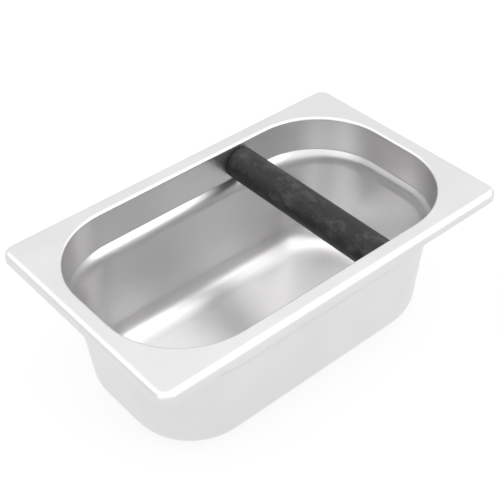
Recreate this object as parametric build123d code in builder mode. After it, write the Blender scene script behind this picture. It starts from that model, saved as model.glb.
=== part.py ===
"""Espresso knock box: a quarter-size gastronorm pan with a twist-lock knock bar across it.

Millimetres. The origin is on the table under the middle of the pan, +Z is up, X runs along the
pan and Y across it. The bar lies along Y, nearer the +X end. Its fixed foot bears on the +Y wall
and its adjustable foot on the -Y wall.
"""
import os
from math import atan2, degrees

from build123d import *

# Pan, drawn from one sheet. The mouth is measured between the wall's inner faces.
pan_length = 265.0
pan_width = 162.0
pan_depth = 100.0
sheet = 0.8
rim_corner = 8.0
rim_roll = 4.0
rim_drop = 7.3
mouth_length = 240.8
mouth_width = 137.2
mouth_corner = 53.0
mouth_bend = 2.0
shoulder_top_bend = 1.5
shoulder_foot_bend = 18.0
floor_bend = 17.6

# Bends of the wall's inner face on its way down: height, and inset from the mouth.
shoulder_top = (74.5, 0.3)
shoulder_foot = (68.0, 4.6)
wall_foot_inset = 10.8

# Knock bar: a steel tube in a rubber sleeve, placed by the height and offset of its axis.
bar_x = 43.0
bar_z = 85.5
tube_radius = 9.5
bore_radius = 8.0
sleeve_radius = 11.45
sleeve_edge = 0.8
bar_fixed_end = 66.7
bar_adjuster_end = -67.7

# Feet. The gap is what is left between a pad and the wall at the pad's lowest point.
foot_gap = 0.15
running_gap = 0.05
disc_radius = 7.7
disc_thick = 1.5
fixed_pad_radius = 11.0
fixed_pad_thick = 1.2
adjuster_pad_thick = 2.0
pad_edge = 0.4

# Fixed foot's stem, its bush in the tube, and the clip that keeps it there.
stem_radius = 4.0
stem_tail = 1.5
end_chamfer = 0.6
bush_length = 16.0
bush_gap = 0.1
clip_gap = 0.4
clip_thick = 1.0
clip_groove = 0.5
clip_rim = 2.2
clip_mouth = 5.0

# Adjuster's stud in its threaded insert. The foot draws back into the tube by its travel.
stud_radius = 5.0
adjuster_travel = 3.0
travel_spare = 0.5
insert_length = 14.0

# Places along the bar that follow from the sizes above.
pad_face = mouth_width / 2 - shoulder_top[1] - foot_gap
fixed_disc_face = pad_face - fixed_pad_thick
fixed_stem_root = fixed_disc_face - disc_thick
bush_outer = fixed_stem_root - bush_gap
bush_inner = bush_outer - bush_length
fixed_clip_outer = bush_inner - clip_gap
fixed_stem_end = fixed_clip_outer - clip_thick - stem_tail
adjuster_disc_face = pad_face - adjuster_pad_thick
stud_root = adjuster_disc_face - disc_thick
insert_outer = stud_root - adjuster_travel - travel_spare
insert_inner = insert_outer - insert_length
stop_clip_outer = insert_inner - clip_gap
stud_end = stop_clip_outer - clip_thick - stem_tail


def across_bar(y):
    """Plane square to the bar at y, facing +Y."""
    return Plane(origin=(bar_x, y, bar_z), x_dir=(-1, 0, 0), z_dir=(0, 1, 0))


def drawn_form(grow, bottom):
    """Solid inside the pan's wall, `grow` outside its inner faces, from the rim to `bottom`."""
    bends = [(pan_depth, 0.0), shoulder_top, shoulder_foot, (bottom, wall_foot_inset)]
    with BuildPart() as form:
        for (high, high_inset), (low, low_inset) in zip(bends, bends[1:]):
            side = grow - high_inset
            with BuildSketch(Plane.XY.offset(high)):
                RectangleRounded(
                    mouth_length + 2 * side, mouth_width + 2 * side, mouth_corner + side
                )
            draft = degrees(atan2(low_inset - high_inset, high - low))
            extrude(amount=high - low, dir=(0, 0, -1), taper=draft)
        fillet(form.edges().group_by(Axis.Z)[0], floor_bend + grow)
        fillet(level_edges(form, shoulder_foot[0]), shoulder_foot_bend - grow)
        fillet(level_edges(form, shoulder_top[0]), shoulder_top_bend + grow)
    return form.part


def level_edges(builder, height):
    """Edges that lie at one height."""
    return builder.edges().filter_by_position(Axis.Z, height - 0.05, height + 0.05)


def stemmed_disc(side, disc_face, radius, clip_outer, end):
    """Disc with a stem that runs from it into the tube, grooved for a clip near its end."""
    profile = [
        (disc_face, 0),
        (disc_face, disc_radius),
        (disc_face - disc_thick, disc_radius),
        (disc_face - disc_thick, radius),
        (clip_outer, radius),
        (clip_outer, radius - clip_groove),
        (clip_outer - clip_thick, radius - clip_groove),
        (clip_outer - clip_thick, radius),
        (end + end_chamfer, radius),
        (end, radius - end_chamfer),
        (end, 0),
    ]
    with BuildPart() as disc:
        with BuildSketch(Plane(origin=(bar_x, 0, bar_z), x_dir=(0, 1, 0), z_dir=(1, 0, 0))):
            with BuildLine():
                Polyline([(side * y, r) for y, r in profile], close=True)
            make_face()
        revolve(axis=Axis((bar_x, 0, bar_z), (0, 1, 0)))
    return disc.part


def clip_on(side, radius, clip_outer):
    """Open retaining ring that snaps into the groove of a stem."""
    with BuildPart() as clip:
        with BuildSketch(across_bar(side * clip_outer)):
            Circle(radius + clip_rim)
            Circle(radius - clip_groove, mode=Mode.SUBTRACT)
            with Locations((0, -radius)):
                Rectangle(clip_mouth, 2 * radius, mode=Mode.SUBTRACT)
        extrude(amount=-side * clip_thick)
    return clip.part


os.makedirs("parts", exist_ok=True)

# Pan: a rim plate turned down all round, with the drawn wall hanging from its mouth.
wall_outside = drawn_form(sheet, 0.0)
wall_inside = drawn_form(0.0, sheet)
with BuildPart() as pan:
    with BuildSketch(Plane.XY.offset(pan_depth)):
        RectangleRounded(pan_length, pan_width, rim_corner)
    extrude(amount=-rim_drop)
    with BuildSketch(Plane.XY.offset(pan_depth - rim_drop)):
        RectangleRounded(pan_length - 2 * sheet, pan_width - 2 * sheet, rim_corner - sheet)
    extrude(amount=rim_drop - sheet, mode=Mode.SUBTRACT)
    fillet(level_edges(pan, pan_depth - sheet), rim_roll - sheet)
    fillet(level_edges(pan, pan_depth), rim_roll)
    add(wall_outside)
    under_mouth = level_edges(pan, pan_depth - sheet).filter_by_position(
        Axis.X, -mouth_length / 2 - 2 * sheet, mouth_length / 2 + 2 * sheet
    )
    fillet(
        under_mouth.filter_by_position(
            Axis.Y, -mouth_width / 2 - 2 * sheet, mouth_width / 2 + 2 * sheet
        ),
        mouth_bend - sheet,
    )
    add(wall_inside, mode=Mode.SUBTRACT)
    over_mouth = level_edges(pan, pan_depth).filter_by_position(
        Axis.X, -mouth_length / 2 - sheet, mouth_length / 2 + sheet
    )
    fillet(
        over_mouth.filter_by_position(Axis.Y, -mouth_width / 2 - sheet, mouth_width / 2 + sheet),
        mouth_bend,
    )
pan.part.label = "pan"
export_step(pan.part, "parts/pan.step")

# Bar: the tube, and the rubber sleeve that the portafilter is knocked on.
with BuildPart() as bar_tube:
    with BuildSketch(across_bar(bar_adjuster_end)):
        Circle(tube_radius)
        Circle(bore_radius, mode=Mode.SUBTRACT)
    extrude(amount=bar_fixed_end - bar_adjuster_end)
bar_tube.part.label = "bar_tube"
export_step(bar_tube.part, "parts/bar_tube.step")

with BuildPart() as bar_sleeve:
    with BuildSketch(across_bar(bar_adjuster_end)):
        Circle(sleeve_radius)
        Circle(tube_radius, mode=Mode.SUBTRACT)
    extrude(amount=bar_fixed_end - bar_adjuster_end)
    outer_rims = bar_sleeve.edges().filter_by(GeomType.CIRCLE).group_by(SortBy.RADIUS)[-1]
    fillet(outer_rims, sleeve_edge)
bar_sleeve.part.label = "bar_sleeve"
export_step(bar_sleeve.part, "parts/bar_sleeve.step")

# Fixed foot: the bar turns on its stem, in a plain bush pressed into the tube.
with BuildPart() as end_bush:
    with BuildSketch(across_bar(bush_outer)):
        Circle(bore_radius)
        Circle(stem_radius + running_gap, mode=Mode.SUBTRACT)
    extrude(amount=-bush_length)
end_bush.part.label = "end_bush"
export_step(end_bush.part, "parts/end_bush.step")

with BuildPart() as fixed_foot:
    add(stemmed_disc(1, fixed_disc_face, stem_radius, fixed_clip_outer, fixed_stem_end))
fixed_foot.part.label = "fixed_foot"
export_step(fixed_foot.part, "parts/fixed_foot.step")

with BuildPart() as fixed_foot_pad:
    with BuildSketch(across_bar(fixed_disc_face)):
        Circle(fixed_pad_radius)
    extrude(amount=fixed_pad_thick)
    fillet(fixed_foot_pad.edges(), pad_edge)
fixed_foot_pad.part.label = "fixed_foot_pad"
export_step(fixed_foot_pad.part, "parts/fixed_foot_pad.step")

with BuildPart() as fixed_foot_clip:
    add(clip_on(1, stem_radius, fixed_clip_outer))
fixed_foot_clip.part.label = "fixed_foot_clip"
export_step(fixed_foot_clip.part, "parts/fixed_foot_clip.step")

# Adjuster: turning the bar runs the insert along the stud and draws the foot into the tube.
with BuildPart() as threaded_insert:
    with BuildSketch(across_bar(-insert_outer)):
        Circle(bore_radius)
        Circle(stud_radius + running_gap, mode=Mode.SUBTRACT)
    extrude(amount=insert_length)
    bore_rims = threaded_insert.edges().filter_by(GeomType.CIRCLE).group_by(SortBy.RADIUS)[0]
    chamfer(bore_rims, end_chamfer)
threaded_insert.part.label = "threaded_insert"
export_step(threaded_insert.part, "parts/threaded_insert.step")

with BuildPart() as adjuster_stud:
    add(stemmed_disc(-1, adjuster_disc_face, stud_radius, stop_clip_outer, stud_end))
adjuster_stud.part.label = "adjuster_stud"
export_step(adjuster_stud.part, "parts/adjuster_stud.step")

with BuildPart() as adjuster_pad:
    with BuildSketch(across_bar(-adjuster_disc_face)):
        Circle(disc_radius)
    extrude(amount=-adjuster_pad_thick)
    fillet(adjuster_pad.edges(), pad_edge)
adjuster_pad.part.label = "adjuster_pad"
export_step(adjuster_pad.part, "parts/adjuster_pad.step")

with BuildPart() as stop_clip:
    add(clip_on(-1, stud_radius, stop_clip_outer))
stop_clip.part.label = "stop_clip"
export_step(stop_clip.part, "parts/stop_clip.step")
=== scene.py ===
"""Looks for the espresso knock box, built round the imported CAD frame. Metres, +Z up."""
import math

import bpy
import numpy as np
from mathutils import Matrix, Vector


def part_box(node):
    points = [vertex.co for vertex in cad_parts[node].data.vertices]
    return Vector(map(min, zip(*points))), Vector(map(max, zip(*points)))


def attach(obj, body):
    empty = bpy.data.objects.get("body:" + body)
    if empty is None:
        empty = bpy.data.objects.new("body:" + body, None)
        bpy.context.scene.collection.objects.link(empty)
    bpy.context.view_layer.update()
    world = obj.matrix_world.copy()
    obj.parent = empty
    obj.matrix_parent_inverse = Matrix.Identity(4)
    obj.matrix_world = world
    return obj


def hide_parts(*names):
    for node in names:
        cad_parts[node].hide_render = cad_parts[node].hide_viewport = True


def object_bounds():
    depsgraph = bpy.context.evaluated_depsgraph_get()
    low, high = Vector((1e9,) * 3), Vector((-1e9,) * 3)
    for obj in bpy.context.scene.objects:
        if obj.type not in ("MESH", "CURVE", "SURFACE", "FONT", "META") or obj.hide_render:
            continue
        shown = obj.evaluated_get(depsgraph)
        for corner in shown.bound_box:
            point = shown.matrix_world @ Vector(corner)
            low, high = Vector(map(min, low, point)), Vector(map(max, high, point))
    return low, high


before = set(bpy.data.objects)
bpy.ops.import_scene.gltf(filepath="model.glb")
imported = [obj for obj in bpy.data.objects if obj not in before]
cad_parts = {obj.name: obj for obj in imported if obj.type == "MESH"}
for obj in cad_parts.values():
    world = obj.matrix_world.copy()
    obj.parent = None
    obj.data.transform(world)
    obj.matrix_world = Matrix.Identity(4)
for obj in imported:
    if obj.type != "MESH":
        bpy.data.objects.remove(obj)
cad_low, cad_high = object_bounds()
scene = bpy.context.scene

# ---------------------------------------------------------------- sizes of the pan, in metres
pan_low, pan_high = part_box("pan")
rim_half = ((pan_high.x - pan_low.x) / 2, (pan_high.y - pan_low.y) / 2)
rim_top = pan_high.z
mouth_half = (0.1204, 0.0686)
mouth_corner = 0.053
rim_corner = 0.008
rim_roll = 0.004
rim_drop = 0.0073
rim_flat = 0.0012
sheet = 0.0008
edge_bend = sheet * 0.3

# The wall's line: distances outwards from the mouth's edge, and heights.
mouth_flat = 0.0045
mouth_bend = 0.002
shoulder_top = (-0.0003, 0.0745)
shoulder_foot = (-0.0046, 0.068)
wall_foot = -0.0108
shoulder_top_bend = 0.0015
shoulder_foot_bend = 0.018
floor_bend = 0.0176
floor_middle = -0.066

# How finely the skin is divided.
ring_spacing = 0.004
arc_steps = 22
long_steps = 26
short_steps = 8
tightest_corner = 0.0003

# The drawn wall's unevenness: its depth, and the heights it lies between.
give_depth = 0.00012
give_foot = 0.018
give_height = 0.05

# ---------------------------------------------------------------- camera
rim_centre = Vector(((cad_low.x + cad_high.x) / 2, (cad_low.y + cad_high.y) / 2, rim_top))
view_yaw = math.radians(50.761)
view_pitch = math.radians(40.434)
view_roll = math.radians(1.959)
view_distance = 0.635
view_aim = rim_centre + Vector((-0.0221, -0.0205, 0.0))
lens_mm = 77.47
sensor_mm = 36


def standing(middle, x_axis, y_axis, z_axis):
    """Matrix of an object at `middle` whose own axes lie along three unit vectors."""
    return Matrix.Translation(middle) @ Matrix((x_axis, y_axis, z_axis)).transposed().to_4x4()


def make_camera():
    """Camera at the product shot's angle, aimed a little short of the rim's centre."""
    forward = Vector((
        math.cos(view_yaw) * math.cos(view_pitch),
        math.sin(view_yaw) * math.cos(view_pitch),
        -math.sin(view_pitch),
    ))
    level = Vector((math.sin(view_yaw), -math.cos(view_yaw), 0))
    down = forward.cross(level)
    right = math.cos(view_roll) * level + math.sin(view_roll) * down
    up = math.sin(view_roll) * level - math.cos(view_roll) * down
    data = bpy.data.cameras.new("camera")
    data.lens = lens_mm
    data.sensor_width = sensor_mm
    data.clip_start, data.clip_end = 0.01, 50
    camera = bpy.data.objects.new("camera", data)
    scene.collection.objects.link(camera)
    camera.matrix_world = standing(view_aim - view_distance * forward, right, up, -forward)
    scene.camera = camera


# ---------------------------------------------------------------- mesh helpers
def new_piece(name, verts, faces, body, material):
    """A smooth-shaded mesh piece that rides on a CAD body."""
    mesh = bpy.data.meshes.new(name)
    mesh.from_pydata([tuple(v) for v in verts], [], faces)
    mesh.update()
    mesh.shade_smooth()
    mesh.materials.append(material)
    piece = bpy.data.objects.new(name, mesh)
    scene.collection.objects.link(piece)
    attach(piece, body)
    return piece


def bent_line(corners, guard=0.001, step=math.radians(2.5)):
    """Points of an open line through (x, z, radius) corners, each rounded by an arc.

    A guard point stands just outside each arc's ends, so that smooth shading keeps flats flat.
    """
    points = [np.array(corners[0][:2], float)]
    for before, here, after in zip(corners, corners[1:], corners[2:]):
        corner = np.array(here[:2], float)
        back = np.array(before[:2], float) - corner
        ahead = np.array(after[:2], float) - corner
        back /= np.linalg.norm(back)
        ahead /= np.linalg.norm(ahead)
        opening = math.acos(np.clip(back @ ahead, -1, 1))
        reach = here[2] / math.tan(opening / 2)
        centre = corner + (back + ahead) / np.linalg.norm(back + ahead) * (
            here[2] / math.sin(opening / 2)
        )
        start, end = corner + back * reach, corner + ahead * reach
        turn = math.pi - opening
        count = max(3, math.ceil(turn / step))
        points.append(start + back * guard)
        for k in range(count + 1):
            t = k / count
            arm = (math.sin((1 - t) * turn) * (start - centre) + math.sin(t * turn) * (end - centre))
            points.append(centre + arm / math.sin(turn))
        points.append(end + ahead * guard)
    points.append(np.array(corners[-1][:2], float))
    return points


def divided(points, longest):
    """The same line with points added so that no stretch is longer than `longest`."""
    out = [points[0]]
    for a, b in zip(points, points[1:]):
        count = max(1, math.ceil(np.linalg.norm(b - a) / longest))
        out += [a + (b - a) * k / count for k in range(1, count + 1)]
    return out


def outline(half_x, half_y, radius):
    """Rounded rectangle, always with the same number of points, counter-clockwise from +X.

    Each side is followed by the corner at its end.
    """
    radius = max(radius, tightest_corner)
    flat_x, flat_y = half_x - radius, half_y - radius
    sides = (
        ((half_x, -flat_y), (half_x, flat_y), (flat_x, flat_y), short_steps),
        ((flat_x, half_y), (-flat_x, half_y), (-flat_x, flat_y), long_steps),
        ((-half_x, flat_y), (-half_x, -flat_y), (-flat_x, -flat_y), short_steps),
        ((-flat_x, -half_y), (flat_x, -half_y), (flat_x, -flat_y), long_steps),
    )
    ring = []
    for quarter, (start, end, centre, steps) in enumerate(sides):
        for k in range(steps):
            t = k / steps
            ring.append((start[0] + (end[0] - start[0]) * t, start[1] + (end[1] - start[1]) * t))
        for k in range(arc_steps):
            angle = math.pi / 2 * (quarter + k / arc_steps)
            ring.append((centre[0] + radius * math.cos(angle), centre[1] + radius * math.sin(angle)))
    return np.array(ring)


def mouth_ring(out):
    """Outline of the wall's inner face at the mouth, moved outwards."""
    return outline(mouth_half[0] + out, mouth_half[1] + out, mouth_corner + out)


def rim_ring(inset):
    """Outline of the rim's outer face, moved inwards."""
    return outline(rim_half[0] - inset, rim_half[1] - inset, rim_corner - inset)


def raised(ring, z):
    """A flat outline as points at height `z`."""
    return np.column_stack([ring, np.full(len(ring), z)])


def wall_give(ring, z):
    """How far the drawn wall stands in from true, at each point of a ring."""
    along = np.arctan2(ring[:, 1] / mouth_half[1], ring[:, 0] / mouth_half[0])
    between = np.clip((z - give_foot) / give_height, 0, 1)
    swell = math.sin(math.pi * between) ** 2
    wave = 0.5 + 0.3 * np.sin(3 * along + 0.8) + 0.2 * np.sin(7 * along + 2.1 + 30 * z)
    return give_depth * swell * wave


def pan_rings():
    """Rings of the sheet's skin, from the floor's middle, over the rim, and back underneath."""
    inner = [
        (floor_middle, sheet, 0),
        (wall_foot, sheet, floor_bend),
        (*shoulder_foot, shoulder_foot_bend),
        (*shoulder_top, shoulder_top_bend),
        (0, rim_top, mouth_bend),
        (mouth_flat, rim_top, 0),
    ]
    outer = [
        (mouth_flat, rim_top - sheet, 0),
        (sheet, rim_top - sheet, mouth_bend - sheet),
        (shoulder_top[0] + sheet, shoulder_top[1], shoulder_top_bend + sheet),
        (shoulder_foot[0] + sheet, shoulder_foot[1], shoulder_foot_bend - sheet),
        (wall_foot + sheet, 0, floor_bend + sheet),
        (floor_middle, 0, 0),
    ]
    rim = [
        (rim_roll + rim_flat, rim_top, 0),
        (0, rim_top, rim_roll),
        (0, rim_top - rim_drop, edge_bend),
        (sheet, rim_top - rim_drop, edge_bend),
        (sheet, rim_top - sheet, rim_roll - sheet),
        (rim_roll + rim_flat, rim_top - sheet, 0),
    ]
    rolled = bent_line(rim, guard=0.00015, step=math.radians(5))
    inside = [raised(mouth_ring(out), z) for out, z in divided(bent_line(inner), ring_spacing)]
    turned = [raised(rim_ring(inset), z) for inset, z in rolled]
    outside = [raised(mouth_ring(out), z) for out, z in divided(bent_line(outer), ring_spacing)]
    for ring in inside + outside:
        plan = ring[:, :2]
        give = wall_give(plan, ring[0, 2])
        ring[:, :2] -= plan / np.linalg.norm(plan, axis=1)[:, None] * give[:, None]
    thirds = (1 / 3, 2 / 3)
    flange = [inside[-1] + (turned[0] - inside[-1]) * t for t in thirds]
    under = [turned[-1] + (outside[0] - turned[-1]) * t for t in thirds]
    return inside + flange + turned + under + outside


def make_pan(material):
    """The pan's sheet as one closed skin of quads, with a flat cap inside and underneath."""
    rings = pan_rings()
    count = len(rings[0])
    faces = [
        (row + k, row + (k + 1) % count, row + count + (k + 1) % count, row + count + k)
        for row in range(0, (len(rings) - 1) * count, count)
        for k in range(count)
    ]
    last = (len(rings) - 1) * count
    faces.append(tuple(range(count))[::-1])
    faces.append(tuple(range(last, last + count)))
    pan = new_piece("pan_skin", np.concatenate(rings), faces, "pan_body", material)
    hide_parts("pan")


# ---------------------------------------------------------------- knock bar
sleeve_end_bend = 0.0006
sleeve_bore_bend = 0.0003
sleeve_spacing = 0.002
sleeve_turns = 144
sway_depth = 0.00003
ripple_depth = 0.00002


def make_sleeve(material):
    """Rubber sleeve as a closed turned skin, barely uneven along its length as moulded rubber is."""
    low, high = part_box("bar_sleeve")
    tube_low, tube_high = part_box("bar_tube")
    axis_x, axis_z = (low.x + high.x) / 2, (low.z + high.z) / 2
    radius, bore = (high.z - low.z) / 2, (tube_high.z - tube_low.z) / 2
    section = bent_line([
        (low.y, bore, 0),
        (low.y, radius, sleeve_end_bend),
        (high.y, radius, sleeve_end_bend),
        (high.y, bore, sleeve_bore_bend),
        (low.y, bore, 0),
    ], guard=0.0002)
    profile = divided(section, sleeve_spacing)[:-1]
    uneven_from = bore * 1.1
    verts = []
    for y, r in profile:
        sway = sway_depth * abs(math.sin(160 * y) * math.sin(47 * y + 1))
        for k in range(sleeve_turns):
            angle = 2 * math.pi * k / sleeve_turns
            ripple = ripple_depth * (1 + math.sin(5 * angle + 60 * y))
            reach = r - ripple - sway if r > uneven_from else r
            verts.append((axis_x + reach * math.cos(angle), y, axis_z + reach * math.sin(angle)))
    rows = [i * sleeve_turns for i in range(len(profile))]
    faces = [
        (row + k, ahead + k, ahead + (k + 1) % sleeve_turns, row + (k + 1) % sleeve_turns)
        for row, ahead in zip(rows, rows[1:] + rows[:1])
        for k in range(sleeve_turns)
    ]
    sleeve = new_piece("sleeve_skin", verts, faces, "bar_body", material)
    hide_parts("bar_sleeve")


# ---------------------------------------------------------------- materials
class Nodes:
    """A material's node tree, with short ways to add and join nodes."""

    def __init__(self, name):
        self.material = bpy.data.materials.new(name)
        self.material.use_nodes = True
        self.tree = self.material.node_tree
        self.surface = self.tree.nodes["Principled BSDF"]

    def add(self, kind, values=None, **settings):
        node = self.tree.nodes.new(kind)
        for key, value in settings.items():
            setattr(node, key, value)
        for key, value in (values or {}).items():
            node.inputs[key].default_value = value
        return node

    def join(self, source, target):
        self.tree.links.new(source, target)

    def set(self, **values):
        for key, value in values.items():
            self.surface.inputs[key.replace("_", " ")].default_value = value

    def place(self, scale):
        """Position in the piece's own frame, in metres, times `scale` along each axis."""
        where = self.add("ShaderNodeTexCoord")
        stretch = self.add("ShaderNodeMapping", {"Scale": scale})
        self.join(where.outputs["Object"], stretch.inputs["Vector"])
        return stretch.outputs["Vector"]

    def noise(self, scale, detail=3.0, rough=0.55):
        """Noise whose `scale` is roughly its number of bumps per metre along X, Y and Z."""
        node = self.add("ShaderNodeTexNoise", {"Scale": 1.0, "Detail": detail, "Roughness": rough})
        self.join(self.place(scale), node.inputs["Vector"])
        return node.outputs["Fac"]

    def between(self, value, low, high, span=(0.0, 1.0)):
        """The value mapped from `span` to low..high."""
        node = self.add("ShaderNodeMapRange", {
            "From Min": span[0], "From Max": span[1], "To Min": low, "To Max": high,
        })
        self.join(value, node.inputs["Value"])
        return node.outputs["Result"]

    def mix(self, amount, first, second):
        """A colour between two, by an amount from 0 to 1."""
        node = self.add("ShaderNodeMix", data_type="RGBA")
        self.join(amount, node.inputs["Factor"])
        for socket, colour in ((node.inputs[6], first), (node.inputs[7], second)):
            if hasattr(colour, "links"):
                self.join(colour, socket)
            else:
                socket.default_value = (*colour, 1)
        return node.outputs[2]

    def blend(self, amount, first, second):
        """A number between two, by an amount from 0 to 1."""
        node = self.add("ShaderNodeMix")
        for key, source in ((0, amount), (2, first), (3, second)):
            self.join(source, node.inputs[key])
        return node.outputs[0]

    def scaled(self, value, times, plus):
        """The value times one number, plus another number or value."""
        node = self.add("ShaderNodeMath", {1: times}, operation="MULTIPLY_ADD")
        self.join(value, node.inputs[0])
        if hasattr(plus, "links"):
            self.join(plus, node.inputs[2])
        else:
            node.inputs[2].default_value = plus
        return node.outputs[0]

    def normal(self):
        """The surface's direction as separate X, Y and Z, in the piece's own frame."""
        node = self.add("ShaderNodeSeparateXYZ")
        self.join(self.add("ShaderNodeTexCoord").outputs["Normal"], node.inputs[0])
        return node.outputs

    def bump(self, height, strength, distance):
        node = self.add("ShaderNodeBump", {"Strength": strength, "Distance": distance})
        self.join(height, node.inputs["Height"])
        self.join(node.outputs["Normal"], self.surface.inputs["Normal"])


def pan_steel():
    """Satin stainless sheet, its rolling lines running lengthwise and up the two ends."""
    warm, cool = (0.705, 0.69, 0.693), (0.73, 0.734, 0.734)
    lengthwise, across = 30, 1100
    smoothest = 0.32

    m = Nodes("pan_steel")
    m.set(Metallic=1.0)
    cloud = m.noise((22, 22, 14))
    m.join(m.mix(m.between(cloud, 0, 1, (0.3, 0.7)), warm, cool), m.surface.inputs["Base Color"])
    along = m.noise((lengthwise, across, across), detail=2.0)
    upright = m.noise((across, across, lengthwise), detail=2.0)
    endwise = m.add("ShaderNodeMath", operation="ABSOLUTE")
    m.join(m.normal()["X"], endwise.inputs[0])
    lines = m.blend(m.between(endwise.outputs[0], 0, 1, (0.4, 0.9)), along, upright)
    m.join(m.scaled(lines, 0.01, m.scaled(cloud, 0.03, smoothest)), m.surface.inputs["Roughness"])
    m.bump(lines, 0.005, 0.0001)
    return m.material


def turned_steel(name, shade, rough):
    """Steel hardware: fine lathe rings round the bar's axis."""
    m = Nodes(name)
    m.set(Metallic=1.0)
    rings = m.noise((120, 9000, 120), detail=1.0)
    m.join(m.mix(rings, (shade * 0.9,) * 3, (shade * 1.05,) * 3), m.surface.inputs["Base Color"])
    m.join(m.between(rings, rough - 0.06, rough + 0.06), m.surface.inputs["Roughness"])
    m.bump(rings, 0.1, 0.00005)
    return m.material


def sleeve_rubber():
    """Black rubber, coloured lighter on top and darker underneath as painted light, scuffed grey in
    patches, with a fine moulded grain.
    """
    # Painted light: the first two colours are a near-black for the shaded underside and a lighter
    # black for the lit top.
    shaded_underside, lit_top = (0.002, 0.002, 0.0021), (0.0118, 0.0118, 0.012)
    scratch, scuff = (0.026, 0.026, 0.0263), (0.06, 0.06, 0.0612)

    m = Nodes("sleeve_rubber")
    # Painted light: the colour runs from the shaded underside to the lit top by which way the
    # surface faces.
    painted_top_light = m.between(m.normal()["Z"], 0, 1, (-0.2, 0.6))
    patches = m.noise((95, 55, 95), detail=6.0, rough=0.7)
    scratches = m.noise((260, 900, 260), detail=3.0, rough=0.6)
    grain = m.noise((2400, 2400, 2400), detail=2.0)
    scuffed = m.between(patches, 0, 1, (0.5, 0.7))
    rubber = m.mix(painted_top_light, shaded_underside, lit_top)
    marked = m.mix(m.between(scratches, 0, 0.6, (0.4, 0.75)), rubber, scratch)
    m.join(m.mix(scuffed, marked, scuff), m.surface.inputs["Base Color"])
    m.join(m.between(scuffed, 0.52, 0.68), m.surface.inputs["Roughness"])
    m.set(Specular_IOR_Level=0.3)
    m.bump(grain, 0.3, 0.00008)
    return m.material


def plain_grained(name, colour, rough, grain_scale):
    """Moulded rubber or nylon, one colour with a faint mottle and grain."""
    m = Nodes(name)
    mottle = m.noise((90, 90, 90))
    m.join(m.mix(mottle, tuple(c * 0.85 for c in colour), tuple(c * 1.15 for c in colour)),
           m.surface.inputs["Base Color"])
    grain = m.noise((grain_scale,) * 3, detail=2.0)
    m.join(m.between(grain, rough - 0.08, rough + 0.08), m.surface.inputs["Roughness"])
    m.bump(grain, 0.2, 0.00006)
    return m.material


# ---------------------------------------------------------------- studio
white = (1, 1, 1, 1)
floor_half = 6.0
back_heading = 55
box_distance = 1.6

# Brightness of the tent round the box: one pale band up to the horizon, above it walls that
# change from the front one to the back one, and over them the ceiling.
horizon, front_wall, back_wall, ceiling = 1.05, 0.8, 1.06, 1.3


def paper_floor():
    """Wide white paper under the box, lit so evenly that it hardly holds a shadow."""
    corners = [(x * floor_half, y * floor_half, cad_low.z)
               for x, y in ((-1, -1), (1, -1), (1, 1), (-1, 1))]
    mesh = bpy.data.meshes.new("floor")
    mesh.from_pydata(corners, [], [(0, 1, 2, 3)])
    m = Nodes("floor_paper")
    m.set(Base_Color=(0.15, 0.15, 0.15, 1), Roughness=1.0, Specular_IOR_Level=0.0,
          Emission_Color=white, Emission_Strength=0.82)
    mesh.materials.append(m.material)
    floor = bpy.data.objects.new("floor", mesh)
    scene.collection.objects.link(floor)


def heading(azimuth, elevation=0.0):
    """Unit vector at an azimuth from +X towards +Y and an elevation, both in degrees."""
    a, e = math.radians(azimuth), math.radians(elevation)
    return Vector((math.cos(a) * math.cos(e), math.sin(a) * math.cos(e), math.sin(e)))


def softbox(name, middle, away, across, width, height, radiance):
    """Rectangular light facing against `away`, at `middle` from the rim's centre."""
    data = bpy.data.lights.new(name, "AREA")
    data.shape = "RECTANGLE"
    data.size, data.size_y = width, height
    data.energy = radiance * math.pi * width * height
    light = bpy.data.objects.new(name, data)
    light.matrix_world = standing(rim_centre + middle, across, away.cross(across), away)
    light.visible_camera = False
    scene.collection.objects.link(light)


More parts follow.
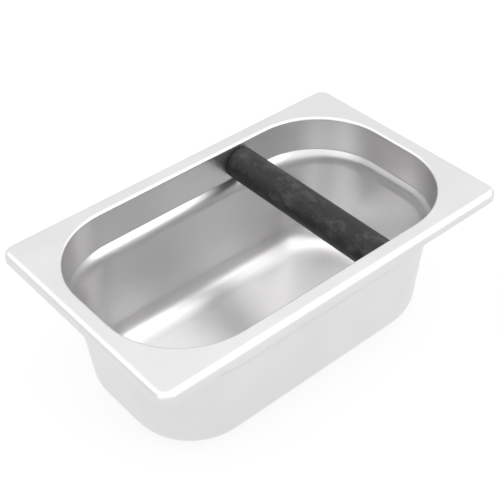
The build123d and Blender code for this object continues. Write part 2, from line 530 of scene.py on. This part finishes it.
def make_world():
    """The tent that the steel mirrors: walls brighter behind the box, and a bright ceiling."""
    world = bpy.data.worlds.new("studio")
    world.use_nodes = True
    tree = world.node_tree
    add, join = tree.nodes.new, tree.links.new
    where = add("ShaderNodeTexCoord")
    apart = add("ShaderNodeSeparateXYZ")
    join(where.outputs["Generated"], apart.inputs[0])
    facing = add("ShaderNodeVectorMath")
    facing.operation = "DOT_PRODUCT"
    join(where.outputs["Generated"], facing.inputs[0])
    facing.inputs[1].default_value = heading(back_heading)

    def ramp(value, edges, below, above):
        """Smooth change from `below` to `above` between two edges."""
        node = add("ShaderNodeMapRange")
        node.interpolation_type = "SMOOTHSTEP"
        node.inputs["From Min"].default_value, node.inputs["From Max"].default_value = edges
        for key, end in (("To Min", below), ("To Max", above)):
            if hasattr(end, "links"):
                join(end, node.inputs[key])
            else:
                node.inputs[key].default_value = end
        join(value, node.inputs["Value"])
        return node.outputs["Result"]

    walls = ramp(facing.outputs["Value"], (-0.1, 0.45), front_wall, back_wall)
    walls = ramp(apart.outputs["Z"], (0.05, 0.15), horizon, walls)
    join(ramp(apart.outputs["Z"], (0.72, 0.84), walls, ceiling),
         tree.nodes["Background"].inputs["Strength"])
    tree.nodes["Background"].inputs["Color"].default_value = white
    scene.world = world


def make_studio():
    """A soft box overhead, squared up to the camera, and five round the sides and front."""
    make_world()
    up = Vector((0, 0, 1))
    far, side = heading(back_heading), heading(back_heading - 90)
    middle = -0.095 * far - 0.15 * side + 1.5 * up
    softbox("overhead", middle, up, side, width=2.5, height=1.09, radiance=0.6)
    for name, azimuth, elevation, width, height, radiance in (
        ("right", -12, 35, 1.0, 0.9, 0.7),
        ("front_right", -61, 28, 0.98, 1.16, 1.9),
        ("front_middle", -115, 31, 1.5, 1.3, 0.5),
        ("front_left", -170, 30, 1.1, 1.3, 0.8),
        ("left", 128, 38, 1.0, 0.9, 0.8),
    ):
        away = heading(azimuth, elevation)
        across = heading(azimuth + 90)
        softbox(name, box_distance * away, away, across, width, height, radiance)
    scene.view_settings.view_transform = "Standard"


# ---------------------------------------------------------------- put together
make_camera()
paper_floor()
make_studio()

make_pan(pan_steel())
make_sleeve(sleeve_rubber())
hardware = turned_steel("hardware_steel", 0.62, 0.3)
clip = turned_steel("clip_steel", 0.3, 0.35)
pad = plain_grained("pad_rubber", (0.003, 0.003, 0.003), 0.75, 3000)
finishes = {
    "bar_tube": turned_steel("tube_steel", 0.66, 0.28),
    "end_bush": plain_grained("bush_nylon", (0.78, 0.77, 0.7), 0.45, 1800),
    "fixed_foot": hardware,
    "fixed_foot_pad": pad,
    "fixed_foot_clip": clip,
    "threaded_insert": hardware,
    "adjuster_stud": hardware,
    "adjuster_pad": pad,
    "stop_clip": clip,
}
for name, material in finishes.items():
    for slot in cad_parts[name].material_slots:
        slot.material = material
